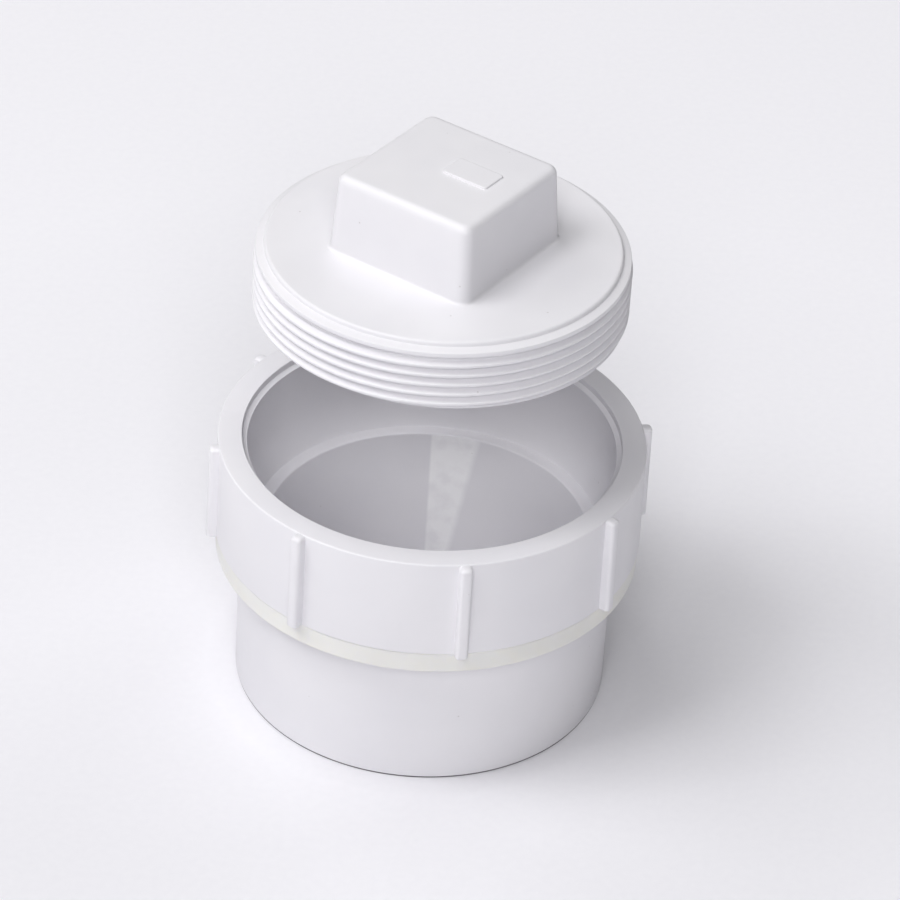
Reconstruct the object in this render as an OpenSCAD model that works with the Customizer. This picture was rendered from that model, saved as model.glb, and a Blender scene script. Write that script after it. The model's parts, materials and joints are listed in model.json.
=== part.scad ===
// Cleanout adapter for a 4 inch drain, with its screw plug raised above the mouth.
// The origin is the centre of the spigot's lower end, and +Z runs up the common axis.
// Seen from the front, -Y faces the viewer and +X is to the right.

/* [Spigot] */
// Outside diameter of the spigot, that of a 4 inch drain pipe
spigot_d = 114.3; // [112:0.1:116]
// Plain length of the spigot below the seal ring
spigot_len = 46.3; // [36:0.1:56]
// Diameter of the waterway through the spigot
waterway_d = 97.8; // [94:0.1:104]
// Rounding of the spigot's lower outside edge
spigot_round = 0.9; // [0.4:0.1:2]

/* [Seal ring] */
// Height of the cream seal ring
ring_h = 6.85; // [4:0.05:10]
// Outside diameter of the seal ring
ring_d = 128.8; // [124:0.1:129.2]
// Depth of the seat that the ring sits in, cut into the spigot
ring_seat = 0.75; // [0.5:0.05:1.5]
// Rounding of the ring's outside edges
ring_round = 0.6; // [0.3:0.1:1]

/* [Collar] */
// Height of the collar
collar_h = 32.35; // [30:0.05:36]
// Outside diameter at the collar's lower edge
collar_low_d = 129.5; // [129.3:0.1:132]
// Outside diameter at the collar's rim, a little less for the mould's draft
collar_rim_d = 128.2; // [127:0.1:129.2]
// Rounding of the rim's outside edge
rim_round = 1.3; // [0.6:0.1:2]
// Rounding of the collar's lower outside edge
skirt_round = 0.9; // [0.4:0.1:1.4]

/* [Grip ribs] */
// Number of grip ribs round the collar
rib_count = 8; // [4:1:12]
// Turn of the first rib from the front, towards the right
rib_turn = 10.3; // [0:0.1:44]
// Width of a rib
rib_w = 3.8; // [3:0.1:5]
// How far a rib stands out from the collar
rib_out = 2.9; // [2:0.1:4]
// Rounding of a rib's upright outside corners
rib_corner = 1.8; // [0.4:0.1:1.8]
// Drop from the rim's face to a rib's top, where it meets the collar
rib_drop = 0.3; // [0.3:0.1:4]
// Fall of a rib's top towards its outside
rib_fall = 0.6; // [0:0.1:2]

/* [Mouth] */
// Diameter of the mouth at the rim's face
mouth_d = 114.7; // [113.6:0.1:116]
// Diameter at the foot of the lead-in
lead_d = 113.5; // [112:0.1:114]
// Depth of the lead-in
lead_depth = 1.9; // [1.5:0.1:4]
// Diameter of the wall that takes the plug
socket_d = 111.1; // [110:0.1:111.4]
// Height of the sloped step between lead-in and wall
step_h = 1.1; // [0.4:0.1:2]
// Depth of the shoulder below the rim's face
shoulder_depth = 33.6; // [28:0.1:36]
// Rounding of the shoulder's inside edge
shoulder_round = 0.6; // [0.3:0.1:1.5]
// Depth below the rim's face where the wall starts to lean in
lean_depth = 19.5; // [19:0.1:21]
// Radius of the bend from the upright wall to the leaning one
lean_bend = 30; // [20:1:40]
// Lean of the wall's lower part
wall_lean = 13.5; // [4:0.5:16]
// Hollow rounding where the wall meets the shoulder
wall_foot = 0.5; // [0.3:0.1:1]

/* [Plug thread] */
// Crest diameter of the plug's thread
thread_d = 110.5; // [108:0.1:110.6]
// Thread pitch, eight turns to the inch
pitch = 3.175; // [2.5:0.005:3.3]
// Number of thread grooves
groove_count = 5; // [3:1:5]
// Radial depth of a groove
groove_depth = 1.9; // [1:0.1:2]
// Flat at the foot of a groove
root_flat = 0.35; // [0.2:0.05:0.5]
// Length of the plug's threaded wall
thread_len = 17.6; // [16.8:0.1:22]
// Wall between the foot of the grooves and the hollow
plug_wall = 5.2; // [4:0.1:8]

/* [Plug disc] */
// Diameter of the plain band above the thread
band_d = 109.5; // [108.4:0.1:110]
// Height of the plain band at its edge
band_h = 1.5; // [1:0.1:2]
// Rise of the sloped ledge from the band to the disc's foot
ledge_rise = 0.6; // [0.2:0.1:1]
// Diameter of the disc's top face at its edge
disc_d = 104; // [100:0.1:105]
// Height of the disc's edge above the ledge
disc_edge_h = 1.55; // [1:0.05:2.5]
// Thickness of the disc over the hollow
disc_t = 5; // [4:0.1:7]

/* [Plug head] */
// Side of the square head where it meets the disc
head_low = 49.2; // [44:0.1:54]
// Side of the square head at its top
head_top = 46.8; // [42:0.1:52]
// Height of the square head above the disc
head_h = 24.4; // [18:0.1:28]
// Rounding of the head's upright corners
head_corner = 3.4; // [3:0.1:6]
// Rounding of the head's top edges
head_edge = 2.6; // [1:0.1:2.8]
// Turn of the head from the front
head_turn = -33.8; // [-45:0.1:45]
// Wall of the hollow head
head_wall = 5; // [4:0.1:8]
// Length, width and height of the bare pad on the head
pad_size = [15.4, 9.4, 0.6];
// Place of the pad's centre on the head
pad_place = [6.8, 2.4];
// Rounding of the pad's corners
pad_round = 1.2; // [0.5:0.1:3]

/* [Pose] */
// Height that the plug is raised above its seat, where it is flush with the rim
plug_lift = 69; // [60:0.5:90]

/* [Hidden] */

white_pvc = [0.90, 0.90, 0.91];
cream_seal = [0.89, 0.88, 0.80];
arc_steps = 6;
hull_facets = 32;
lap = 0.01;

ring_z = spigot_len;
collar_z = ring_z + ring_h;
rim_z = collar_z + collar_h;
shoulder_z = rim_z - shoulder_depth;
plug_z = rim_z - band_h - ledge_rise - disc_edge_h + plug_lift;

// Points of a rounded corner: centre, radius, and the angles that it runs between
function corner(c, r, from, to) = [
    for (i = [0 : arc_steps])
        let (a = from + (to - from) * i / arc_steps) c + r * [cos(a), sin(a)]
];

// Wall that takes the plug, going down: upright, then leaning in to the shoulder
function mouth_wall() = let (
    bend = [socket_d / 2 - lean_bend, rim_z - lean_depth],
    lean_end = bend + lean_bend * [cos(wall_lean), -sin(wall_lean)],
    foot = lean_end.x - (lean_end.y - shoulder_z) * tan(wall_lean),
    inset = wall_foot / tan(45 + wall_lean / 2)
) concat(
    corner(bend, lean_bend, 0, -wall_lean),
    corner([foot - inset, shoulder_z + wall_foot], wall_foot, -wall_lean, -90)
);

// Half section of the moulding, up its outside and down its inside
function body_section() = concat(
    [[waterway_d / 2 + 0.5, 0]],
    corner([spigot_d / 2 - spigot_round, spigot_round], spigot_round, -90, 0),
    [[spigot_d / 2, ring_z], [spigot_d / 2 - ring_seat, ring_z]],
    [[spigot_d / 2 - ring_seat, collar_z]],
    corner([collar_low_d / 2 - skirt_round, collar_z + skirt_round], skirt_round, -90, 0),
    corner([collar_rim_d / 2 - rim_round, rim_z - rim_round], rim_round, 0, 90),
    corner([mouth_d / 2 + 0.3, rim_z - 0.3], 0.3, 90, 180),
    [[lead_d / 2, rim_z - lead_depth]],
    [[socket_d / 2, rim_z - lead_depth - step_h]],
    mouth_wall(),
    corner([waterway_d / 2 + shoulder_round, shoulder_z - shoulder_round], shoulder_round, 90, 180),
    [[waterway_d / 2, 0.5]]
);

// A bar with rounded outside corners, standing against the collar's wall
module grip_rib() {
    reach = collar_low_d / 2 + rib_out;
    root = collar_rim_d / 2 - 3;
    side = rib_w / 2 - rib_corner;
    translate([-rib_w / 2, rib_corner - reach, 0])
        cube([rib_w, reach - rib_corner - root, collar_h]);
    translate([-side, -reach, 0])
        cube([2 * side, rib_corner + lap, collar_h]);
    for (x = [-side, side])
        translate([x, rib_corner - reach, 0])
            cylinder(r = rib_corner, h = collar_h, $fn = 48);
}

// Half section of the ring that the ribs are kept inside, which shapes their ends
function rib_ring_section() = let (
    outer = collar_low_d / 2 + rib_out + 0.05,
    inner = collar_rim_d / 2 - 4,
    top = collar_h - rib_drop
) concat(
    [[inner, 0]],
    corner([outer - 0.7, 0.7], 0.7, -90, 0),
    corner([outer - 0.5, top - rib_fall - 0.5], 0.5, 0, 80),
    [[collar_rim_d / 2 - 0.5, top], [inner, top]]
);

module grip_ribs() {
    translate([0, 0, collar_z])
        intersection() {
            for (i = [0 : rib_count - 1])
                rotate([0, 0, rib_turn + i * 360 / rib_count])
                    grip_rib();
            rotate_extrude($fn = 180)
                polygon(rib_ring_section());
        }
}

module adapter_body() {
    color(white_pvc) {
        rotate_extrude($fn = 180)
            polygon(body_section());
        grip_ribs();
    }
}

module seal_ring() {
    inner = spigot_d / 2 - ring_seat;
    color(cream_seal)
        rotate_extrude($fn = 180)
            polygon(concat(
                [[inner, ring_z]],
                corner([ring_d / 2 - ring_round, ring_z + ring_round], ring_round, -90, 0),
                corner([ring_d / 2 - ring_round, collar_z - ring_round], ring_round, 0, 90),
                [[inner, collar_z]]
            ));
}

// One groove of the thread, from the crest above it to the crest below it
function groove(i) = let (
    crest = thread_d / 2,
    root = thread_d / 2 - groove_depth,
    flank = groove_depth * tan(30),
    top = -i * pitch
) [
    [i == 0 ? band_d / 2 : crest, top],
    [root, top - flank],
    [root, top - flank - root_flat],
    [crest, top - 2 * flank - root_flat]
];

// Half section of the plug without its head; zero is the lower edge of the plain band
function plug_section() = let (
    hollow = thread_d / 2 - groove_depth - plug_wall,
    top = band_h + ledge_rise + disc_edge_h,
    edge = 0.9
) concat(
    [[0, top - disc_t], [hollow - 2, top - disc_t]],
    corner([hollow - 2, top - disc_t - 2], 2, 90, 0),
    [[hollow, -thread_len]],
    [[thread_d / 2 - 0.9, -thread_len]],
    [[thread_d / 2, -groove_count * pitch - 0.2]],
    [for (i = [groove_count - 1 : -1 : 0], p = [3 : -1 : 0]) groove(i)[p]],
    corner([band_d / 2 - 0.25, band_h - 0.25], 0.25, 0, 75),
    [[disc_d / 2 + 0.45, band_h + ledge_rise]],
    corner([disc_d / 2 - edge + 0.3, top - edge], edge, 0, 90),
    [[0, top]]
);

// The square head, drawn from the disc's face up
module head_form() {
    low = head_low / 2 - head_corner;
    high = head_top / 2 - head_corner;
    hull()
        for (x = [-1, 1], y = [-1, 1]) {
            translate([x * low, y * low, 0])
                cylinder(r = head_corner, h = lap, $fn = hull_facets);
            translate([x * high, y * high, head_h - head_edge])
                rotate_extrude($fn = hull_facets)
                    polygon(concat(
                        [[0, 0]],
                        corner([head_corner - head_edge, 0], head_edge, 0, 90)
                    ));
        }
}

// A block with rounded upright corners, centred on its base
module rounded_block(x, y, h, r) {
    translate([-x / 2, r - y / 2, 0]) cube([x, y - 2 * r, h]);
    translate([r - x / 2, -y / 2, 0]) cube([x - 2 * r, y, h]);
    for (sx = [-1, 1], sy = [-1, 1])
        translate([sx * (x / 2 - r), sy * (y / 2 - r), 0])
            cylinder(r = r, h = h, $fn = 48);
}

module cleanout_plug() {
    disc_z = band_h + ledge_rise + disc_edge_h;
    hollow = head_top - 2 * head_wall;
    color(white_pvc)
        translate([0, 0, plug_z])
            difference() {
                union() {
                    rotate_extrude($fn = 180)
                        polygon(plug_section());
                    rotate([0, 0, head_turn]) {
                        translate([0, 0, disc_z - lap]) head_form();
                        translate([pad_place.x, pad_place.y, disc_z + head_h - 1])
                            rounded_block(pad_size.x, pad_size.y, pad_size.z + 1, pad_round);
                    }
                }
                rotate([0, 0, head_turn])
                    translate([0, 0, disc_z - disc_t - lap])
                        rounded_block(hollow, hollow, head_h + disc_t - head_wall, 2.5);
            }
}

adapter_body();
seal_ring();
cleanout_plug();
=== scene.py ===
# %% [markdown]
# # A cleanout adapter with its screw plug
#
# The object is a short white drain fitting. A plain spigot goes into a drain
# pipe, a cream ring seals it, and a wide ribbed collar takes a screw plug with
# a square head. The plug is shown raised above the mouth.
#
# The solids come first, because every piece that is made here is set against
# them. The scene is in metres, with +Z up the common axis. Sizes are written in
# millimetres and turned into metres with MM.

import json
import math

import bmesh
import bpy
from mathutils import Matrix, Vector

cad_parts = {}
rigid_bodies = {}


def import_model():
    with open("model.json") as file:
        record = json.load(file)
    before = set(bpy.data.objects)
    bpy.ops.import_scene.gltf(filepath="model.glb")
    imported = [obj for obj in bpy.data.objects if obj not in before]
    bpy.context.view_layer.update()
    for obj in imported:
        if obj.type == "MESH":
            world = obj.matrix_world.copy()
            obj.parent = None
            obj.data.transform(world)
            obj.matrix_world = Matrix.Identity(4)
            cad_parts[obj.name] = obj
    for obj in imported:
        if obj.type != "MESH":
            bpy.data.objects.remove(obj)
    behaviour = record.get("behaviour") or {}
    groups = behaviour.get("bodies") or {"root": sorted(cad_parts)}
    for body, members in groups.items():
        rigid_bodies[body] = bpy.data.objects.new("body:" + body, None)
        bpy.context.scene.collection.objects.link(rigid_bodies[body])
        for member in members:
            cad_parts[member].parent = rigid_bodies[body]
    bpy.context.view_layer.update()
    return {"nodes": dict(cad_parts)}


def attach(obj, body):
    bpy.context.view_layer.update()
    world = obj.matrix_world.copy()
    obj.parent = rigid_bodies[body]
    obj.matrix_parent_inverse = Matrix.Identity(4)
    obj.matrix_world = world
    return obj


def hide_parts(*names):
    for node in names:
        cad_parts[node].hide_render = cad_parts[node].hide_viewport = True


MM = 0.001
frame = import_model()

# %% [markdown]
# ## The camera
#
# By the fit of its rims and edges, the photograph was taken from a little over a
# metre away with a long lens, so upright edges stay nearly parallel. The camera is
# written as a place, a yaw, a pitch and a roll, and the matrix is built from those
# angles, because that keeps each of them readable.

# %% Camera
def add_object(name, data):
    """A new object in the scene."""
    made = bpy.data.objects.new(name, data)
    bpy.context.scene.collection.objects.link(made)
    return made


def aim_camera(distance, height, yaw, pitch, roll, lens):
    """A camera in front of the part; angles are in degrees and the lens in millimetres."""
    yaw, pitch, roll = (math.radians(a) for a in (yaw, pitch, roll))
    ahead = Vector((math.sin(yaw) * math.cos(pitch),
                    math.cos(yaw) * math.cos(pitch),
                    -math.sin(pitch)))
    level = Vector((math.cos(yaw), -math.sin(yaw), 0))
    above = level.cross(ahead)
    right = math.cos(roll) * level + math.sin(roll) * above
    up = -math.sin(roll) * level + math.cos(roll) * above
    data = bpy.data.cameras.new("camera")
    data.sensor_fit, data.sensor_width, data.lens = "HORIZONTAL", 36.0, lens
    data.clip_start, data.clip_end = 0.05, 20.0
    camera = add_object("camera", data)
    axes = Matrix((right, up, -ahead)).transposed().to_4x4()
    camera.matrix_world = Matrix.Translation((0, -distance, height)) @ axes
    return camera


camera = aim_camera(distance=0.9807, height=0.7764, yaw=0.32, pitch=35.35, roll=3.64, lens=160.0)
bpy.context.scene.camera = camera
print("camera at", tuple(round(v, 4) for v in camera.location))

# %% [markdown]
# ## Loops and lofts
#
# The plug is one moulding: a round disc and skirt that turn into a square head,
# with a round hollow below that turns into a square one. A lathe alone can't make
# it. It is lofted instead: a list of closed loops with the same number of points,
# each joined to the next by a band of quads. Round and square loops share their
# point numbers, quarter by quarter, so a band can pass from one to the other on a
# flat face.

# %% Loops
CORNER_STEPS, SIDE_STEPS = 8, 44
QUARTER = 2 * CORNER_STEPS + SIDE_STEPS


def round_loop(radius, z, count=4 * QUARTER):
    """A circle, with as many points as a square loop unless told otherwise."""
    angles = [math.radians(-45) + 2 * math.pi * i / count for i in range(count)]
    return [Vector((radius * math.cos(a), radius * math.sin(a), z)) for a in angles]


def block_loop(width, depth, corner, z, center=(0, 0)):
    """A rectangle with rounded corners, drawn side by side from the lower right corner."""
    x, y = width / 2 - corner, depth / 2 - corner
    sides = ((x, -y, x, y), (x, y, -x, y), (-x, y, -x, -y), (-x, -y, x, -y))
    points = []
    for turn, (cx, cy, nx, ny) in enumerate(sides):
        facing = math.radians(90 * turn)
        out = Vector((math.cos(facing), math.sin(facing), 0)) * corner
        for k in range(CORNER_STEPS + 1):
            a = facing + math.radians(-45 + 45 * k / CORNER_STEPS)
            points.append(Vector((cx + corner * math.cos(a), cy + corner * math.sin(a), 0)))
        for k in range(1, SIDE_STEPS):
            points.append(Vector((cx, cy, 0)).lerp(Vector((nx, ny, 0)), k / SIDE_STEPS) + out)
        for k in range(CORNER_STEPS):
            a = facing + math.radians(45 * k / CORNER_STEPS)
            points.append(Vector((nx + corner * math.cos(a), ny + corner * math.sin(a), 0)))
    return [p + Vector((center[0], center[1], z)) for p in points]


print("points per loop:", len(round_loop(1, 0)), len(block_loop(2, 2, 0.5, 0)))


# %% Bends and lofts
def bend(radius, start, end, steps=6, center=(0, 0)):
    """Pairs (across, up) along part of a circle, for fillets and rounded edges."""
    angles = [math.radians(start + (end - start) * i / steps) for i in range(steps + 1)]
    return [(center[0] + radius * math.cos(a), center[1] + radius * math.sin(a)) for a in angles]


def loft(loops, first_cap=None, last_cap=None):
    """A mesh through closed loops; a cap is the point that its end is closed to."""
    bm = bmesh.new()
    rings = [[bm.verts.new(p) for p in loop] for loop in loops]
    for low, high in zip(rings, rings[1:]):
        for i in range(len(low)):
            j = (i + 1) % len(low)
            bm.faces.new((low[i], low[j], high[j], high[i]))
    for ring, cap in ((rings[0], first_cap), (rings[-1], last_cap)):
        if cap is not None:
            tip = bm.verts.new(cap)
            for i in range(len(ring)):
                bm.faces.new((ring[i], ring[(i + 1) % len(ring)], tip))
    bmesh.ops.recalc_face_normals(bm, faces=bm.faces)
    return bm


print("points in a bend:", len(bend(1, 0, 90)))

# %% [markdown]
# ## The fitting's section
#
# The fitting is turned: its half section goes up the spigot and the collar, over
# the rim, and down the mouth and the waterway. The mouth has a short lead-in, a
# sloped step, an upright wall for the plug and, below the plug's reach, a wall
# that leans in to the shoulder. The loops are swept through every point of that
# section and end where they began, so the wall is a closed solid. Only small
# edges are rounded: the rim's outer edge is nearly sharp, and its highlight is a
# thin line. The spigot's end slopes up towards its outer edge, which leaves the
# fine dark line where the fitting stands on the table.

# %% Fitting section
SPIGOT_R, SEAT_R, BORE_R = 57.15, 56.4, 48.9
RING_Z, COLLAR_Z, RIM_Z, SHOULDER_Z = 46.3, 53.15, 85.5, 51.9
COLLAR_LOW_R, COLLAR_RIM_R = 64.75, 64.4
MOUTH_R, LEAD_R, SOCKET_R = 57.1, 57.0, 55.55
LEAN, LEAN_BEND, LEAN_Z = 13.5, 30.0, RIM_Z - 19.5
FITTING_STEPS = 576


def fitting_section():
    """Pairs (radius, z): up the outside, over the rim and down the inside."""
    foot_in, foot_rise, foot_edge = 1.9, 0.65, 0.2
    collar_edge, rim_edge, lip = 0.5, 0.55, 0.25
    lead_depth, step_depth = 1.9, 2.6
    wall_foot, bore_edge, bore_foot = 0.25, 0.6, 0.5
    # the spigot, the ring's seat and the collar
    section = [(SPIGOT_R - foot_in, 0)]
    section += bend(foot_edge, -75, 0, 4, (SPIGOT_R - foot_edge, foot_rise))
    section += [(SPIGOT_R, RING_Z), (SEAT_R, RING_Z), (SEAT_R, COLLAR_Z)]
    collar_edge_center = (COLLAR_LOW_R - collar_edge, COLLAR_Z + collar_edge)
    section += bend(collar_edge, -90, 0, center=collar_edge_center)
    # the rim and the mouth
    section += bend(rim_edge, 0, 90, center=(COLLAR_RIM_R - rim_edge, RIM_Z - rim_edge))
    section += bend(lip, 90, 180, 4, (MOUTH_R + lip, RIM_Z - lip))
    section += [(LEAD_R, RIM_Z - lead_depth), (SOCKET_R, RIM_Z - step_depth)]
    # the leaning wall, whose rounded foot touches both the wall and the shoulder
    section += bend(LEAN_BEND, 0, -LEAN, center=(SOCKET_R - LEAN_BEND, LEAN_Z))
    lean_r, lean_z = section[-1]
    lean = math.radians(LEAN)
    foot_r = lean_r - (lean_z - SHOULDER_Z) * math.tan(lean)
    inset = wall_foot / math.tan(math.radians(45) + lean / 2)
    section += bend(wall_foot, -LEAN, -90, center=(foot_r - inset, SHOULDER_Z + wall_foot))
    # the waterway
    section += bend(bore_edge, 90, 180, center=(BORE_R + bore_edge, SHOULDER_Z - bore_edge))
    section += [(BORE_R, bore_foot), (BORE_R + bore_foot, 0)]
    return section + section[:1]


section = fitting_section()
fitting_bm = loft([round_loop(r * MM, z * MM, FITTING_STEPS) for r, z in section])
print("fitting:", len(section), "points in the section,", len(fitting_bm.faces), "faces")

# %% [markdown]
# ## The plug's shell
#
# The moulding has an even wall, so the head is hollow from below. Its sides lean
# in a little towards the top, which lets it leave the mould, and every edge is
# rounded. Where the head meets the disc there is a small fillet. The loops start
# at the hollow's ceiling, go down its inside, round the skirt's lower edge, up the
# outside and over the head. The wall behind the thread stands a quarter of a
# millimetre inside the thread's root, because the thread is laid over it afterwards.
#
# The loops are drawn in millimetres from the middle of the disc's top face, with
# the head square to the axes. They are turned and moved to their place at the end.

# %% Plug sizes
DISC_TOP = 154.5
BAND_FOOT = DISC_TOP - 3.65
SKIRT_FOOT = DISC_TOP - 21.25
ROOT_R, CREST_R = 53.35, 55.25
DISC_R, BAND_R, HOLLOW_R = 52.3, 54.75, 48.15
HEAD_TURN = math.radians(-33.8)

# heights from the disc's top face, and widths across the flats
HEAD_TOP, CEILING, WEB_FOOT = 24.4, 19.4, -5.0
HEAD_LOW_WIDTH, HEAD_HIGH_WIDTH = 49.2, 46.8
HEAD_FILLET, HEAD_CORNER, HEAD_EDGE = 1, 3.4, 2.6
HOLLOW_LOW_WIDTH, HOLLOW_HIGH_WIDTH, HOLLOW_CORNER = 36.8, 36.6, 2.5
plug_height = DISC_TOP + HEAD_TOP - SKIRT_FOOT
print("plug:", 2 * CREST_R, "mm across the thread,", round(plug_height, 2), "mm high")


# %% Plug shell
def square(side, corner, z):
    """A square loop with rounded corners."""
    return block_loop(side, side, corner, z)


def circles(pairs):
    """A round loop for each pair (radius, z)."""
    return [round_loop(radius, z) for radius, z in pairs]


def hollow_loops(skirt, high_edge=1.6, low_edge=0.8, web_edge=2, skirt_edge=0.5):
    """From the ceiling of the square hollow down to the skirt's lower edge."""
    loops = [square(12, 0.4, CEILING), square(32, 1.2, CEILING)]
    loops += [square(HOLLOW_HIGH_WIDTH - 2 * (high_edge - x), HOLLOW_CORNER - high_edge + x,
                     CEILING - high_edge + z) for x, z in bend(high_edge, 90, 0)]
    loops += [square(HOLLOW_LOW_WIDTH, HOLLOW_CORNER, WEB_FOOT + low_edge)]
    loops += [square(HOLLOW_LOW_WIDTH + 2 * (low_edge - x), HOLLOW_CORNER + low_edge - x,
                     WEB_FOOT + low_edge - z) for x, z in bend(low_edge, 0, 90)]
    loops += circles([(31, WEB_FOOT), (44.8, WEB_FOOT)])
    loops += circles(bend(web_edge, 90, 0, center=(HOLLOW_R - web_edge, WEB_FOOT - web_edge)))
    loops += circles([(HOLLOW_R, skirt + 4)])
    loops += circles(bend(skirt_edge, 180, 270, center=(HOLLOW_R + skirt_edge, skirt + skirt_edge)))
    return loops


def wall_loops(skirt, band, tuck=0.25, tuck_height=0.4):
    """Up behind the thread, over the band and its small groove, to the disc's flat face."""
    loops = circles([(ROOT_R, skirt), (ROOT_R - tuck, skirt + tuck_height)])
    loops += circles([(ROOT_R - tuck, band - tuck_height), (ROOT_R, band)])
    loops += circles(bend(0.2, -90, 0, 3, (BAND_R - 0.2, band + 0.2)))
    loops += circles(bend(0.3, 0, 75, 4, (BAND_R - 0.3, band + 1.2)))
    loops += circles([(DISC_R + 0.55, -1.62)])
    loops += circles(bend(0.3, 255, 180, 4, (DISC_R + 0.3, -1.25)))
    loops += circles(bend(0.9, 0, 90, center=(DISC_R - 0.9, -0.9)))
    return loops + circles([(51.0, 0), (42, 0), (37, 0)])


def head_loops():
    """The fillet on the disc, the leaning sides, the rounded edge and the flat top."""
    side_top = HEAD_TOP - HEAD_EDGE
    middle_width, middle_z = (HEAD_LOW_WIDTH + HEAD_HIGH_WIDTH) / 2, (HEAD_FILLET + side_top) / 2
    loops = [square(HEAD_LOW_WIDTH + 2 * (HEAD_FILLET - x), HEAD_CORNER + HEAD_FILLET - x,
                    HEAD_FILLET - z) for x, z in bend(HEAD_FILLET, 90, 0)]
    loops += [square(middle_width, HEAD_CORNER, middle_z)]
    loops += [square(HEAD_HIGH_WIDTH - 2 * (HEAD_EDGE - x), HEAD_CORNER - HEAD_EDGE + x,
                     side_top + z) for x, z in bend(HEAD_EDGE, 0, 90, 8)]
    top_face = ((41.0, 0.7), (30, 0.7), (9, 0.3))
    return loops + [square(side, corner, HEAD_TOP) for side, corner in top_face]


def to_plug(points):
    """Turn points with the head and move them to their place on the plug."""
    turn = Matrix.Rotation(HEAD_TURN, 4, "Z")
    spot = Matrix.Scale(MM, 4) @ Matrix.Translation((0, 0, DISC_TOP)) @ turn
    return [spot @ p for p in points]


skirt, band = SKIRT_FOOT - DISC_TOP, BAND_FOOT - DISC_TOP
shell = [to_plug(loop) for loop in hollow_loops(skirt) + wall_loops(skirt, band) + head_loops()]
plug_bm = loft(shell, *to_plug([Vector((0, 0, CEILING)), Vector((0, 0, HEAD_TOP))]))
print("shell:", len(shell), "loops,", len(plug_bm.faces), "faces")

# %% [markdown]
# ## The pad on the head
#
# A low raised pad lies on the head's top face, off its middle. It is a separate
# closed form whose foot is sunk a little into the head, because its outline has
# nothing in common with the head's loops.

# %% Pad
PAD_SIZE, PAD_SPOT = (15.4, 9.4), (6.8, 2.4)
PAD_CORNER, PAD_EDGE = 1.2, 0.35
PAD_FOOT, PAD_TOP = HEAD_TOP - 0.3, HEAD_TOP + 0.6


def pad_loop(grow, corner, z):
    """The pad's outline, grown all round."""
    width, depth = PAD_SIZE
    return block_loop(width + 2 * grow, depth + 2 * grow, corner, z, PAD_SPOT)


def pad_loops():
    """From the sunk foot over the small fillet and the rounded edge to the flat top."""
    fillet = [(0.25, PAD_FOOT), (0.25, HEAD_TOP), (0.08, HEAD_TOP + 0.07), (0, HEAD_TOP + 0.25)]
    edge = bend(PAD_EDGE, 0, 90, 5, (-PAD_EDGE, PAD_TOP - PAD_EDGE))
    loops = [pad_loop(grow, PAD_CORNER + grow, z) for grow, z in fillet + edge]
    return loops + [pad_loop(-0.8, 0.5, PAD_TOP)]


pad = [to_plug(loop) for loop in pad_loops()]
pad_bm = loft(pad, *to_plug([Vector((*PAD_SPOT, PAD_FOOT)), Vector((*PAD_SPOT, PAD_TOP))]))
print("pad:", len(pad_bm.faces), "faces")

# %% [markdown]
# ## From meshes to an object
#
# On the real plug the shell and the pad are one moulding, so their meshes go into
# one object. They stay two closed forms that run into each other, which is enough
# here: they meet at the foot of the pad's small fillet.

# %% Object from meshes
def new_object(name, *parts):
    """One object from several meshes in the making."""
    mesh = bpy.data.meshes.new(name)
    whole = bmesh.new()
    for part in parts:
        piece = bpy.data.meshes.new("part")
        part.to_mesh(piece)
        part.free()
        whole.from_mesh(piece)
        bpy.data.meshes.remove(piece)
    whole.to_mesh(mesh)
    whole.free()
    return add_object(name, mesh)


plug = new_object("plug", plug_bm, pad_bm)
print("plug shell and pad:", len(plug.data.polygons), "faces")

# %% [markdown]
# ## Graphs of nodes
#
# A material is a small graph of nodes, and so is a recipe in Geometry Nodes. Both
# start from one helper that adds nodes and joins them, so each finish and each
# recipe below reads like its description.

# %% Graph helper
class Graph:
    """A node tree in the making, with short ways to add nodes and join them."""

    def node(self, kind, inputs=None, **settings):
        """Add a node, set its own settings, then feed its sockets by name or number."""
        made = self.tree.nodes.new(kind)
        for key, value in settings.items():
            setattr(made, key, value)
        for key, value in (inputs or {}).items():
            self.feed(value, made.inputs[key])
        return made

    def feed(self, value, socket):
        """Join another node's socket to this one, or set a constant on it."""
        if isinstance(value, bpy.types.NodeSocket):
            self.tree.links.new(value, socket)
        else:
            socket.default_value = value

    def math(self, operation, *values):
        made = self.node("ShaderNodeMath", operation=operation)
        for value, socket in zip(values, made.inputs):
            self.feed(value, socket)
        return made.outputs[0]

    def plus(self, a, b):
        return self.math("ADD", a, b)

    def minus(self, a, b):
        return self.math("SUBTRACT", a, b)

    def times(self, a, b):
        return self.math("MULTIPLY", a, b)

    def ramp(self, value, start, end, low=0.0, high=1.0, **settings):
        """A value that goes from low to high while another goes from start to end."""
        sizes = {"From Min": start, "From Max": end, "To Min": low, "To Max": high}
        made = self.node("ShaderNodeMapRange", {"Value": value, **sizes}, **settings)
        return made.outputs["Result"]


print("ways to build a graph:", [way for way in vars(Graph) if not way.startswith("_")])


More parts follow.
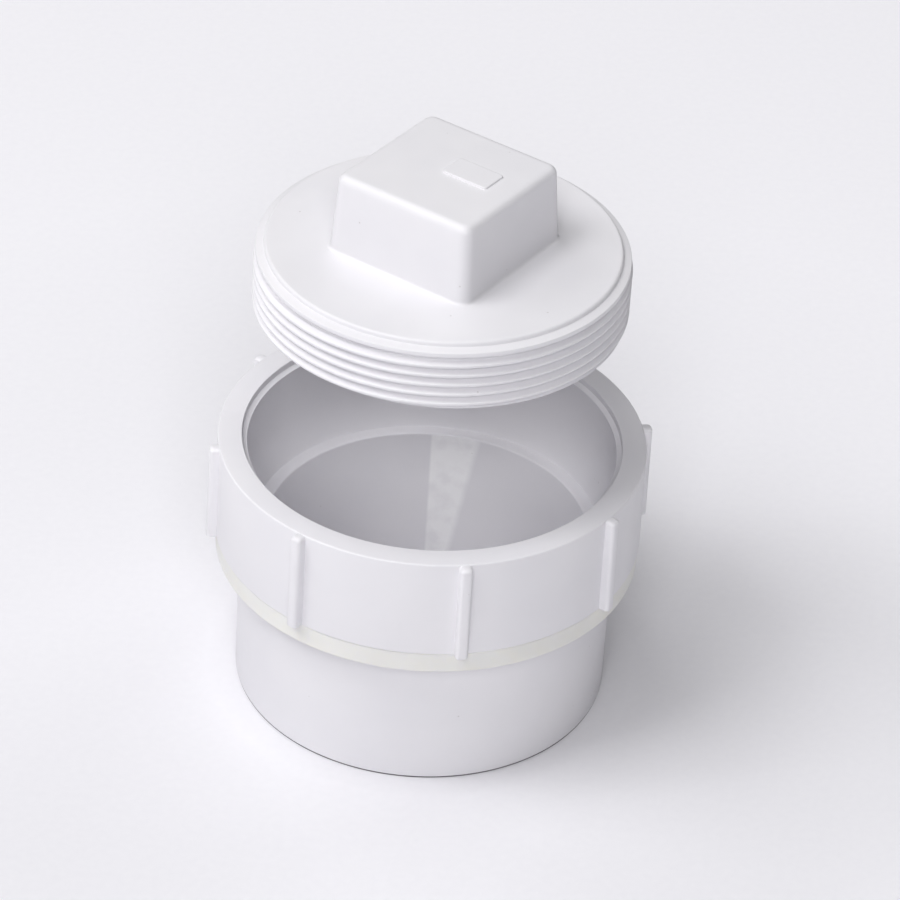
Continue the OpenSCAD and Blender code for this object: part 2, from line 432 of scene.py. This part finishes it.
# %% Finish helper
class Finish(Graph):
    """A material in the making; its spot is the place in the part's own coordinates."""

    def __init__(self, name):
        self.material = bpy.data.materials.new(name)
        self.material.use_nodes = True
        self.tree = self.material.node_tree
        self.shader = self.tree.nodes["Principled BSDF"]
        self.spot = self.node("ShaderNodeTexCoord").outputs["Object"]

    def noise(self, scale, detail):
        inputs = {"Vector": self.spot, "Scale": scale, "Detail": detail}
        return self.node("ShaderNodeTexNoise", inputs).outputs["Fac"]

    def tint(self, value, start, first, end, last):
        """A colour that goes from the first to the last while a value goes from start to end."""
        made = self.node("ShaderNodeValToRGB", {"Fac": value})
        for stop, position, color in zip(made.color_ramp.elements, (start, end), (first, last)):
            stop.position, stop.color = position, (*color, 1)
        return made.outputs["Color"]

    def blend(self, share, under, over):
        """Lay a colour over another one, by a share from 0 to 1."""
        inputs = {"Factor": share, "A": under, "B": (*over, 1)}
        return self.node("ShaderNodeMix", inputs, data_type="RGBA").outputs["Result"]

    def relief(self, height, depth, below=None):
        """Fine relief of a depth in metres, on top of another one if there is one."""
        made = self.node("ShaderNodeBump", {"Height": height, "Strength": 1.0, "Distance": depth})
        if below is not None:
            self.feed(below, made.inputs["Normal"])
        return made.outputs["Normal"]

    def wear(self, inputs):
        """Feed the shader's own sockets, and give back the finished material."""
        for label, value in inputs.items():
            self.feed(value, self.shader.inputs[label])
        return self.material


print("ways to build a finish:", [way for way in vars(Finish) if not way.startswith("_")])

# %% [markdown]
# ## White PVC
#
# The moulding is rigid white PVC, slightly blue, with a satin face. Injection
# leaves it a little uneven: the wall sinks by a few hundredths of a millimetre
# over a centimetre, the mould's polish prints a fine grain, and the gloss changes
# from place to place. A few dark specks the size of a grain of sand lie in the
# plastic. They are the cores of Voronoi cells, of which the surface cuts only a
# few. All of it is set in the part's own coordinates, so it stays put when the
# part is turned.
#
# On the far wall of the waterway there is a pale streak with a mottled face. It
# is straight on its left, starts at the shoulder and gets narrower downwards. It
# is a painted reflection of light, laid into the colour as a wedge between two
# angles round the axis, of which the right one follows the height. The photograph
# doesn't tell what it really is.

# %% Painted reflection streak
STREAK_TURN, STREAK_SOFT = math.radians(-0.3), math.radians(0.5)
STREAK_WIDE, STREAK_NARROW = math.radians(17.6), math.radians(7.0)
# the white of the painted reflection streak
REFLECTION_WHITE = (0.985, 0.980, 0.990)


def painted_reflection_streak(f):
    """How much of the painted reflection streak there is at a spot, from 0 to 1."""
    axes = f.node("ShaderNodeSeparateXYZ", {0: f.spot})
    x, y, z = (axes.outputs[k] for k in "XYZ")
    turn = f.math("ARCTAN2", x, y)
    radius = f.math("SQRT", f.plus(f.times(x, x), f.times(y, y)))
    # between the straight left edge and the right edge, which leans with the height
    right = f.ramp(z, 0.0, SHOULDER_Z * MM, STREAK_NARROW, STREAK_WIDE)
    from_left = f.ramp(turn, STREAK_TURN - STREAK_SOFT, STREAK_TURN + STREAK_SOFT)
    from_right = f.ramp(f.minus(right, turn), -2 * STREAK_SOFT, 3 * STREAK_SOFT)
    reflection_share = f.times(from_left, from_right)
    # only on the waterway's wall, below the shoulder
    reflection_share = f.times(reflection_share, f.ramp(radius, (BORE_R + 0.4) * MM, (BORE_R + 0.2) * MM))
    reflection_share = f.times(reflection_share, f.ramp(z, (SHOULDER_Z - 0.2) * MM, (SHOULDER_Z - 0.6) * MM))
    mottle = f.ramp(f.noise(170.0, 4.0), 0.36, 0.56, 0.5, 1.0)
    return f.times(reflection_share, mottle)


print("streak:", [round(BORE_R * (a - STREAK_TURN), 1) for a in (STREAK_WIDE, STREAK_NARROW)],
      "mm wide at the shoulder and at the foot")

# %% White PVC
PVC_LOW, PVC_HIGH = (0.788, 0.778, 0.812), (0.819, 0.807, 0.836)
SPECK_BROWN = (0.30, 0.27, 0.25)


def white_plastic():
    f = Finish("white_pvc")
    cloudy = f.tint(f.noise(26.0, 3.0), 0.35, PVC_LOW, 0.65, PVC_HIGH)
    # the painted reflection is laid over the plastic's colour as a paler white
    color_with_reflection = f.blend(painted_reflection_streak(f), cloudy, REFLECTION_WHITE)
    cells = f.node("ShaderNodeTexVoronoi", {"Vector": f.spot, "Scale": 105.0})
    speck = f.ramp(cells.outputs["Distance"], 0.022, 0.036, 0.3, 0.0)
    sink = f.relief(f.noise(95.0, 1.0), 0.05 * MM)
    return f.wear({
        "Base Color": f.blend(speck, color_with_reflection, SPECK_BROWN),
        "Roughness": f.ramp(f.noise(150.0, 4.0), 0.3, 0.7, 0.42, 0.52),
        "Normal": f.relief(f.noise(1100.0, 2.0), 0.006 * MM, below=sink),
        "IOR": 1.53})


finishes = {"white_pvc": white_plastic()}
print("white_pvc has", len(finishes["white_pvc"].node_tree.nodes), "nodes")

# %% [markdown]
# ## The cream seal
#
# The ring is a softer, slightly translucent elastomer. Light goes a few
# millimetres into it, which is why its edge looks milky beside the hard white
# wall. Subsurface scattering gives that; the rest is a faint cloudiness and a
# duller, finer grain than the PVC has.

# %% Cream seal
CREAM_LOW, CREAM_HIGH = (0.785, 0.778, 0.752), (0.820, 0.814, 0.792)


def cream_rubber():
    f = Finish("cream_seal")
    grain = f.noise(900.0, 3.0)
    return f.wear({
        "Base Color": f.tint(f.noise(60.0, 3.0), 0.3, CREAM_LOW, 0.7, CREAM_HIGH),
        "Roughness": f.ramp(grain, 0.3, 0.7, 0.42, 0.55),
        "Normal": f.relief(grain, 0.01 * MM),
        "IOR": 1.46,
        "Subsurface Weight": 0.35,
        "Subsurface Radius": (1.0, 0.9, 0.6),
        "Subsurface Scale": 2.0 * MM})


finishes["cream_seal"] = cream_rubber()
print("cream_seal has", len(finishes["cream_seal"].node_tree.nodes), "nodes")

# %% [markdown]
# ## Dress the seal ring
#
# The ring is a plain turned shape, and its solid has it in full. It keeps its own
# mesh and only gets the finish.

# %% Dress the seal ring
seal = frame["nodes"]["seal_ring"]
for slot in seal.material_slots:
    slot.material = finishes["cream_seal"]
print("seal ring wears cream_seal in", len(seal.material_slots), "slot")

# %% [markdown]
# ## The thread
#
# The plug's thread is one right-hand ridge of 3.175 mm pitch, eight turns to the
# inch. It follows a rule exactly, so Geometry Nodes make it: a flat grid is wound
# round the wall, its long side along the helix and its short side across one
# pitch, and the height of each point comes from its distance to the crest. The
# strip's edges meet turn by turn. Two cones then trim it: one leaves a plain groove
# below the band, the other breaks the lower edge.

# %% Recipe helper
class Recipe(Graph):
    """A Geometry Nodes tree in the making, with named inputs."""

    def __init__(self, name, inputs):
        self.tree = bpy.data.node_groups.new(name, "GeometryNodeTree")
        face = self.tree.interface
        face.new_socket("Geometry", in_out="INPUT", socket_type="NodeSocketGeometry")
        self.ids = {}
        for label, (kind, value) in inputs.items():
            socket = face.new_socket(label, in_out="INPUT", socket_type=kind)
            socket.default_value = value
            self.ids[label] = socket.identifier
        face.new_socket("Geometry", in_out="OUTPUT", socket_type="NodeSocketGeometry")
        self.given = self.tree.nodes.new("NodeGroupInput").outputs
        self.end = self.tree.nodes.new("NodeGroupOutput")

    def close(self, geometry, finish):
        """End the tree: instances become real geometry, and it gets its finish."""
        solid = self.node("GeometryNodeRealizeInstances", {"Geometry": geometry})
        coat = self.node("GeometryNodeSetMaterial", {
            "Geometry": solid.outputs[0], "Material": finish})
        self.feed(coat.outputs[0], self.end.inputs[0])


def bake(obj, recipe, values):
    """Run a recipe on an object and keep the result as its plain mesh."""
    modifier = obj.modifiers.new(recipe.tree.name, "NODES")
    modifier.node_group = recipe.tree
    for label, value in values.items():
        modifier[recipe.ids[label]] = value
    graph = bpy.context.evaluated_depsgraph_get()
    graph.update()
    mesh = bpy.data.meshes.new_from_object(obj.evaluated_get(graph), depsgraph=graph)
    obj.modifiers.remove(modifier)
    old, obj.data = obj.data, mesh
    mesh.name = obj.name
    bpy.data.meshes.remove(old)


NUMBER, COUNT = "NodeSocketFloat", "NodeSocketInt"
print("kinds of input that the recipes have:", NUMBER, COUNT)

# %% Thread recipe
PITCH = 3.175
# the height of one crest at the front; whole pitches more or less change nothing
CREST_FRONT = BAND_FOOT - 2.86 + 3 * PITCH
RIDGE_FOOT, RIDGE_TOP = 0.45, 0.1
GROOVE_HEIGHT, GROOVE_SLOPE = 0.35, 1.7
LEAD_DEPTH, LEAD_SLOPE = 1.0, 0.6


def thread_recipe():
    """Wind a grid round the wall; the ridge's foot and top are in pitches from the crest."""
    g = Recipe("screw_thread", {
        "Pitch": (NUMBER, PITCH * MM),
        "Root radius": (NUMBER, ROOT_R * MM),
        "Depth": (NUMBER, (CREST_R - ROOT_R) * MM),
        "Top": (NUMBER, BAND_FOOT * MM),
        "Bottom": (NUMBER, SKIRT_FOOT * MM),
        "Crest at the front": (NUMBER, CREST_FRONT * MM),
        "Steps along": (COUNT, 960),
        "Steps across": (COUNT, 25)})
    pitch, depth, top, bottom = (g.given[k] for k in ("Pitch", "Depth", "Top", "Bottom"))
    grid = g.node("GeometryNodeMeshGrid", {
        "Vertices X": g.given["Steps along"], "Vertices Y": g.given["Steps across"]})
    flat = g.node("ShaderNodeSeparateXYZ", {0: g.node("GeometryNodeInputPosition").outputs[0]})
    along, across = g.plus(flat.outputs["X"], 0.5), flat.outputs["Y"]

    # the crest climbs from half a pitch below the bottom to half a pitch above the top
    span = g.plus(g.minus(top, bottom), pitch)
    center = g.plus(g.minus(bottom, g.times(pitch, 0.5)), g.times(span, along))
    turns = g.math("DIVIDE", g.minus(center, g.given["Crest at the front"]), pitch)
    angle = g.minus(g.times(turns, 2 * math.pi), math.pi / 2)

    def ridge(offset):
        """From 0 at the root to 1 at the crest, half straight and half rounded."""
        away = g.math("ABSOLUTE", offset)
        straight = g.ramp(away, RIDGE_FOOT, RIDGE_TOP)
        curved = g.ramp(away, RIDGE_FOOT, RIDGE_TOP, interpolation_type="SMOOTHSTEP")
        return g.times(g.plus(straight, curved), 0.5)

    # points beyond the top or the bottom are folded onto it, at the bottom no further out than
    # the ridge is where it is cut; above the bottom a whole metre is added, which lifts that limit
    height = g.plus(center, g.times(across, pitch))
    level = g.math("MINIMUM", g.math("MAXIMUM", height, bottom), top)
    cut = g.math("DIVIDE", g.minus(bottom, center), pitch)
    above = g.math("LESS_THAN", bottom, height)
    limit = g.plus(g.times(ridge(cut), depth), above)
    rise = g.math("MINIMUM", g.times(ridge(across), depth), limit)

    # the two cones: the plain groove below the band, and the lower edge
    groove = g.times(g.minus(g.minus(top, level), GROOVE_HEIGHT * MM), GROOVE_SLOPE)
    lead = g.plus(g.times(g.minus(level, bottom), LEAD_SLOPE), LEAD_DEPTH * MM)
    rise = g.math("MINIMUM", g.math("MINIMUM", rise, g.math("MAXIMUM", groove, 0.0)), lead)

    radius = g.plus(g.given["Root radius"], rise)
    wound = g.node("ShaderNodeCombineXYZ", {
        "X": g.times(radius, g.math("COSINE", angle)),
        "Y": g.times(radius, g.math("SINE", angle)),
        "Z": level})
    strip = g.node("GeometryNodeSetPosition", {
        "Geometry": grid.outputs["Mesh"], "Position": wound.outputs[0]})
    merged = g.node("GeometryNodeMergeByDistance", {
        "Geometry": strip.outputs[0], "Distance": 0.02 * MM})
    both = g.node("GeometryNodeJoinGeometry")
    for geometry in (merged.outputs[0], g.given["Geometry"]):
        g.feed(geometry, both.inputs[0])
    g.close(both.outputs[0], finishes["white_pvc"])
    return g


bake(plug, thread_recipe(), {"Crest at the front": CREST_FRONT * MM})
reach = max(Vector((v.co.x, v.co.y)).length for v in plug.data.vertices) / MM
print("plug with thread:", len(plug.data.polygons), "faces, reach", round(reach, 2), "mm")

# %% [markdown]
# ## Smooth faces and crisp creases
#
# A moulding's faces are smooth, and they meet in small rounded edges or in sharp
# lines. Smooth shading hides the quads. It would also smear the light over a
# sharp line, so edges that bend by more than a limit are marked as creases.
#
# The number of open edges is printed too. The fitting has none. The plug has the
# edges of the thread's strip, whose turns lie side by side round the closed shell.

# %% Smooth shading with crisp creases
def shade(obj, crease=40.0):
    """Merge doubles, drop faces without area, shade smooth and make the creases sharp."""
    bm = bmesh.new()
    bm.from_mesh(obj.data)
    bmesh.ops.remove_doubles(bm, verts=bm.verts, dist=1e-6)
    bmesh.ops.dissolve_degenerate(bm, edges=bm.edges, dist=1e-6)
    for face in bm.faces:
        face.smooth = True
    limit = math.radians(crease)
    for edge in bm.edges:
        edge.smooth = not (len(edge.link_faces) == 2 and edge.calc_face_angle(0) > limit)
    open_edges = sum(len(edge.link_faces) == 1 for edge in bm.edges)
    bm.to_mesh(obj.data)
    bm.free()
    print(obj.name, "faces", len(obj.data.polygons), "open edges", open_edges)


shade(plug)
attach(plug, "plug")
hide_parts("cleanout_plug")

# %% [markdown]
# ## The grip ribs
#
# Eight bars stand on the collar, so that a strap or a hand can hold it. Each has
# rounded corners and ends, leans in a little towards the rim like the wall that
# it stands on, and stops just under the rim. One bar is lofted with its back sunk
# in the collar's wall, and Geometry Nodes place it eight times round the axis. A
# count and a turn are all that they need.

# %% One rib
RIB_REACH, RIB_HALF, RIB_CORNER = COLLAR_LOW_R + 2.95, 1.85, 1.15
RIB_TOP, RIB_DRAFT = RIM_Z - 0.15, 0.45
RIB_LOW_ROUND, RIB_TOP_ROUND = 0.5, 1.2
RIB_ROOT_R, RIB_ROOT_FLARE, RIB_MIDDLE_R = 61.0, 0.2, 63


def rib_loop(half, reach, z):
    """The outline of a bar that stands on the collar, pointing along +X."""
    corner = min(RIB_CORNER, half - 0.05)
    outline = [(RIB_ROOT_R, -half - RIB_ROOT_FLARE)]
    outline += bend(corner, -90, 0, center=(reach - corner, corner - half))
    outline += bend(corner, 0, 90, center=(reach - corner, half - corner))
    outline += [(RIB_ROOT_R, half + RIB_ROOT_FLARE)]
    return [Vector((x * MM, y * MM, z * MM)) for x, y in outline]


def one_rib():
    """A bar from the collar's foot to just under the rim, with both ends rounded."""
    low, high = RIB_LOW_ROUND, RIB_TOP_ROUND
    loops = [rib_loop(RIB_HALF - low + x, RIB_REACH - low + x, COLLAR_Z + low + z)
             for x, z in bend(low, -90, 0)]
    loops += [rib_loop(RIB_HALF - high + x, RIB_REACH - RIB_DRAFT - high + x, RIB_TOP - high + z)
              for x, z in bend(high, 0, 90)]
    return loft(loops, *(Vector((RIB_MIDDLE_R * MM, 0, z * MM)) for z in (COLLAR_Z, RIB_TOP)))


rib = new_object("grip_rib", one_rib())
print("one rib:", len(rib.data.polygons), "faces")

# %% Eight ribs
RIB_COUNT, RIB_TURN = 8, math.radians(10.6)


def ribs_recipe():
    """Copies of a bar round the axis, evenly spaced."""
    g = Recipe("grip_ribs", {"Count": (COUNT, RIB_COUNT), "Turn": (NUMBER, 0.0)})
    spots = g.node("GeometryNodeMeshLine", {"Count": g.given["Count"], "Offset": (0, 0, 0)})
    order = g.node("GeometryNodeInputIndex").outputs[0]
    share = g.math("DIVIDE", g.times(order, 2 * math.pi), g.given["Count"])
    turn = g.node("ShaderNodeCombineXYZ", {"Z": g.plus(share, g.given["Turn"])})
    placed = g.node("GeometryNodeInstanceOnPoints", {
        "Points": spots.outputs[0], "Instance": g.given["Geometry"], "Rotation": turn.outputs[0]})
    g.close(placed.outputs[0], finishes["white_pvc"])
    return g


bake(rib, ribs_recipe(), {"Count": RIB_COUNT, "Turn": RIB_TURN})
ribs_bm = bmesh.new()
ribs_bm.from_mesh(rib.data)
bpy.data.objects.remove(rib)
fitting = new_object("fitting", fitting_bm, ribs_bm)
fitting.data.materials.append(finishes["white_pvc"])
shade(fitting, 25.0)
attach(fitting, "adapter")
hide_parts("adapter_body")

# %% [markdown]
# ## The table
#
# The fitting stands on a large matt white board that runs out of the picture, so
# there is no horizon. The board has a very faint grain, and it is slightly blue.
# It is a little paler away from the middle, which evens out the light that the
# white fitting throws on it.
#
# Under the spigot's wall a contact shadow is painted dark on the board. The wall
# covers it, and only a hair line of it shows in the gap below the spigot's edge,
# so the contact line is darker than white plastic over a white board gives.
# Outside the wall about a tenth of the painted shadow is left, and it fades out over 9 mm.

# %% Floor
FLOOR_SIZE = 12.0
BOARD_LOW, BOARD_HIGH = (0.860, 0.851, 0.890), (0.876, 0.867, 0.904)
# grey of the painted contact shadow, the share of it left outside the wall, and its fade in mm
CONTACT_SHADE_GREY, CONTACT_SHADE_LEFT, CONTACT_SHADE_FADE = (0.25, 0.24, 0.26), 0.11, 9


def board_finish():
    """The board's colour is its own, times how pale it is there, with the painted contact shadow
    over it.
    """
    f = Finish("floor")
    grain = f.noise(380.0, 3.0)
    tint = f.tint(grain, 0.3, BOARD_LOW, 0.7, BOARD_HIGH)
    reach = f.node("ShaderNodeVectorMath", {0: f.spot}, operation="LENGTH").outputs["Value"]
    paler = f.ramp(reach, 0.07, 0.28, 0.94, 1.035)
    board = f.node("ShaderNodeVectorMath", {0: tint, "Scale": paler}, operation="SCALE")
    # the painted contact shadow: dark under the spigot's wall, a tenth of it fading outside
    inner = f.ramp(reach, (BORE_R + 1) * MM, (BORE_R + 2) * MM)
    outer = f.ramp(reach, (SPIGOT_R - 0.05) * MM, (SPIGOT_R - 0.25) * MM)
    fade = f.ramp(reach, SPIGOT_R * MM, (SPIGOT_R + CONTACT_SHADE_FADE) * MM, CONTACT_SHADE_LEFT, 0.0)
    painted_contact_shade = f.times(inner, f.math("MAXIMUM", outer, fade))
    return f.wear({
        "Base Color": f.blend(painted_contact_shade, board.outputs["Vector"], CONTACT_SHADE_GREY),
        "Normal": f.relief(grain, 0.02 * MM),
        "Roughness": 0.8,
        "Specular IOR Level": 0.2})


def studio_floor(size):
    """A flat square under the part, which belongs to the stage."""
    mesh = bpy.data.meshes.new("floor")
    s = size / 2
    mesh.from_pydata([(-s, -s, 0), (s, -s, 0), (s, s, 0), (-s, s, 0)], [], [(0, 1, 2, 3)])
    mesh.materials.append(board_finish())
    floor = add_object("floor", mesh)
    return floor


floor = studio_floor(FLOOR_SIZE)
print("floor", tuple(round(v, 2) for v in floor.dimensions))

# %% [markdown]
# ## The light
#
# The shading in the photograph comes from a broad soft source high on the front
# left, with pale surroundings that fill the rest. Shadows are soft and fall to
# the right. The part was rendered under each panel alone, the panels were weighed
# against the tones of some seventy places in the photograph, and the result was
# then nudged. They are far away and large, so the floor is lit evenly.

# %% Light
def soft_panel(name, spot, target, size, power):
    """A square lamp that faces the target."""
    data = bpy.data.lights.new(name, "AREA")
    data.shape, data.size, data.size_y = "RECTANGLE", size, size
    data.energy = power
    light = add_object(name, data)
    light.location = spot
    light.rotation_euler = (Vector(target) - Vector(spot)).to_track_quat("-Z", "Y").to_euler()


def from_around(azimuth, elevation, distance):
    """A place on a sphere round the part; azimuth -90 is towards the camera."""
    a, e = math.radians(azimuth), math.radians(elevation)
    return (distance * math.cos(e) * math.cos(a),
            distance * math.cos(e) * math.sin(a),
            distance * math.sin(e))


PANEL_AWAY, PANEL_SIZE, PANEL_AIM = 7.0, 2.95, (0, 0, 0.08)
PANELS = [
    # name, azimuth, elevation, power
    ("key", -155, 58, 164.0),
    ("high", -170, 75, 87.0),
    ("left", -180, 38, 77.0),
    ("front", -90, 38, 200.0),
    ("front left", -110, 48, 35.0),
    ("back left", 135, 45, 52.0),
    ("back right", 45, 45, 51.0),
]
for name, azimuth, elevation, power in PANELS:
    soft_panel(name, from_around(azimuth, elevation, PANEL_AWAY), PANEL_AIM, PANEL_SIZE, power)
print(len(PANELS), "panels,", sum(row[3] for row in PANELS), "W")

# %% World and view
world = bpy.data.worlds.new("studio")
bpy.context.scene.world = world
world.use_nodes = True
world.node_tree.nodes["Background"].inputs["Color"].default_value = (0.96, 0.97, 1.0, 1)
world.node_tree.nodes["Background"].inputs["Strength"].default_value = 0.04
bpy.context.scene.view_settings.view_transform = "Standard"
print("world and view are set:", world.name, bpy.context.scene.view_settings.view_transform)

# %% [markdown]
